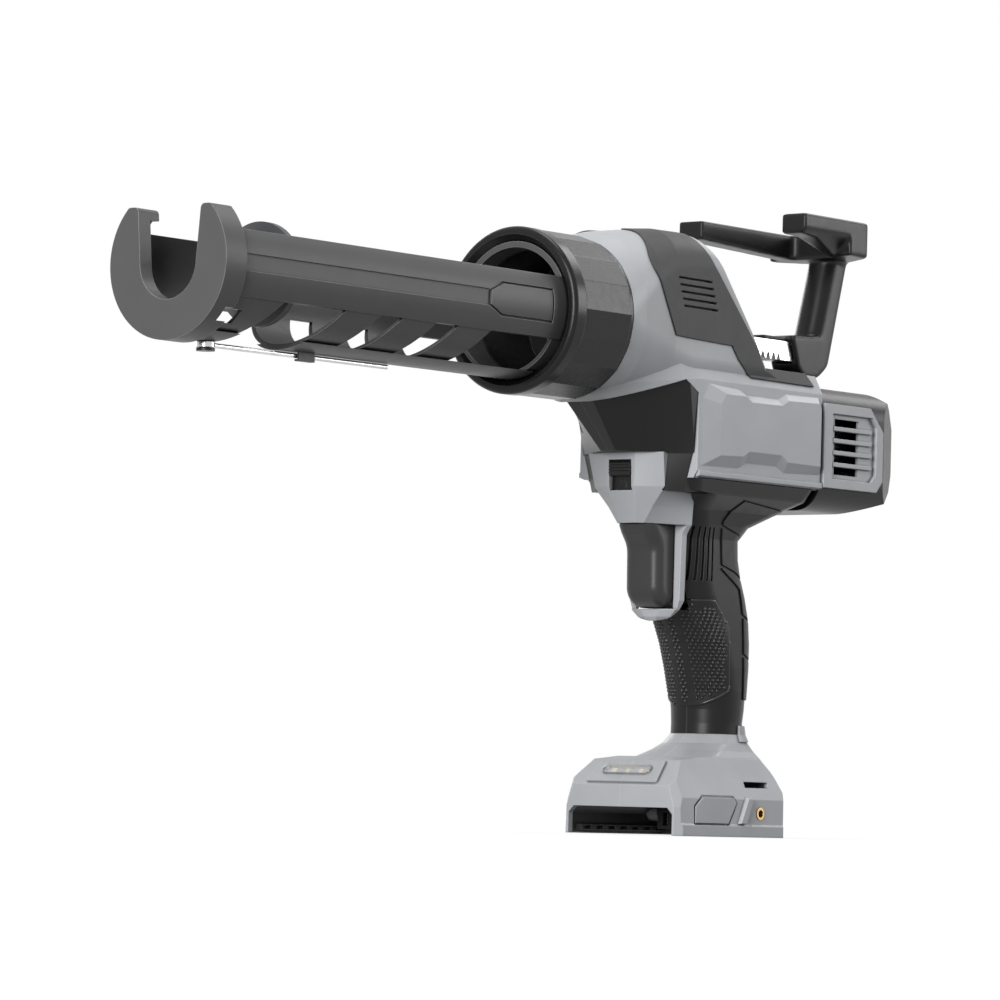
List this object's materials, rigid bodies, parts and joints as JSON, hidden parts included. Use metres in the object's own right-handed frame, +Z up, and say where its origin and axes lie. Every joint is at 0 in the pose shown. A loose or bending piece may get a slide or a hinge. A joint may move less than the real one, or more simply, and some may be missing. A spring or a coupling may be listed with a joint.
{
  "type": "cordless caulking tool",
  "caption": "Pistol-grip powered caulking gun: open cartridge cradle, collar nut, rack-driven piston with rear pull handle, trigger with lock and a slide-on battery foot.",
  "frame": {"origin": "under the middle of the foot, on the ground and on the middle plane", "axes": "+Z up, the nose points along -X, the tool's left side is -Y"},
  "size_m": [0.451, 0.0694, 0.2704],
  "materials": {
    "grey_body": "fine moulded texture",
    "dark_cover": "fine moulded texture",
    "black_shell": "satin moulded",
    "module_black": "moulded",
    "grip_rubber": "soft grip",
    "board_green": "lacquered",
    "lead_jacket": "smooth",
    "clear_lens": "polished",
    "brass_parts": "turned",
    "bright_steel": "bright",
    "bearing_steel": "ground",
    "gear_steel": "machined",
    "bare_alloy": "die cast",
    "black_alloy": "black anodised",
    "board_white": "lacquered",
    "barrel_grey": "powder coated",
    "collar_black": "satin moulded",
    "guide_plastic": "moulded",
    "piston_plastic": "moulded",
    "motor_can": "zinc plated",
    "fan_plastic": "moulded"
  },
  "bodies": {
    "body": {"left_housing": "grey_body", "right_housing": "grey_body", "left_cover": "dark_cover", "right_cover": "dark_cover", "motor_cap": "black_shell", "left_vent_panel": "grey_body", "right_vent_panel": "grey_body", "left_handle_shell": "black_shell", "right_handle_shell": "black_shell", "grip_sleeve": "grip_rubber", "trigger_bezel": "grey_body", "switch_module": "module_black", "left_foot_shell": "grey_body", "right_foot_shell": "grey_body", "terminal_block": "module_black", "terminal_blades": "brass_parts", "control_board": "board_green", "led_board": "board_white", "power_leads": "lead_jacket", "led_lens": "clear_lens", "belt_hook_inserts": "brass_parts", "housing_screws": "bright_steel", "nose_flange": "black_alloy", "front_guide": "guide_plastic", "rear_guide": "guide_plastic", "gear_case": "bare_alloy", "left_pinion_bearing": "bearing_steel", "right_pinion_bearing": "bearing_steel", "motor": "motor_can", "rotor_bearing": "bearing_steel", "battery_tray": "module_black", "back_pad": "grip_rubber"},
    "rod": {"rack_rod": "bright_steel", "piston": "piston_plastic", "piston_nut": "bright_steel", "pull_handle": "black_shell", "handle_pin": "bright_steel"},
    "pinion": {"drive_pinion": "gear_steel"},
    "trigger": {"trigger": "black_shell"},
    "lock": {"lock_slide": "black_shell"},
    "carriage": {"cradle": "barrel_grey", "wire_rivet": "gear_steel"},
    "collar": {"collar_nut": "collar_black"},
    "wire": {"puncture_wire": "bright_steel"},
    "rotor": {"rotor_shaft": "gear_steel", "cooling_fan": "fan_plastic"}
  },
  "joints": [
    {"name": "rod_slide", "type": "slide", "parent": "body", "child": "rod", "axis": [1, 0, 0], "range_m": [0, 0.178]},
    {"name": "pinion_turn", "type": "hinge", "parent": "body", "child": "pinion", "pos_m": [-0.02423, 0, 0.1989], "axis": [0, 1, 0], "range_deg": [-20, 1040]},
    {"name": "trigger_pull", "type": "slide", "parent": "body", "child": "trigger", "axis": [1, 0, 0], "range_m": [0, 0.007], "stiffness_N_per_m": 600},
    {"name": "lock_slide", "type": "slide", "parent": "body", "child": "lock", "axis": [0, 0, -1], "range_m": [0, 0.006]},
    {"name": "carriage_swivel", "type": "hinge", "parent": "body", "child": "carriage", "pos_m": [-0.11, 0, 0.2136], "axis": [1, 0, 0], "continuous": true},
    {"name": "collar_turn", "type": "hinge", "parent": "body", "child": "collar", "pos_m": [-0.1, 0, 0.2136], "axis": [1, 0, 0], "range_deg": [0, 360]},
    {"name": "wire_swing", "type": "hinge", "parent": "carriage", "child": "wire", "pos_m": [-0.3043, 0, 0.1838], "axis": [0, 0, 1], "range_deg": [0, 130]},
    {"name": "rotor_spin", "type": "hinge", "parent": "body", "child": "rotor", "pos_m": [0.09, 0, 0.1715], "axis": [1, 0, 0], "continuous": true}
  ],
  "couplings": [
    {"joint": "pinion_turn", "follows": "rod_slide", "rad_per_m": 100}
  ]
}
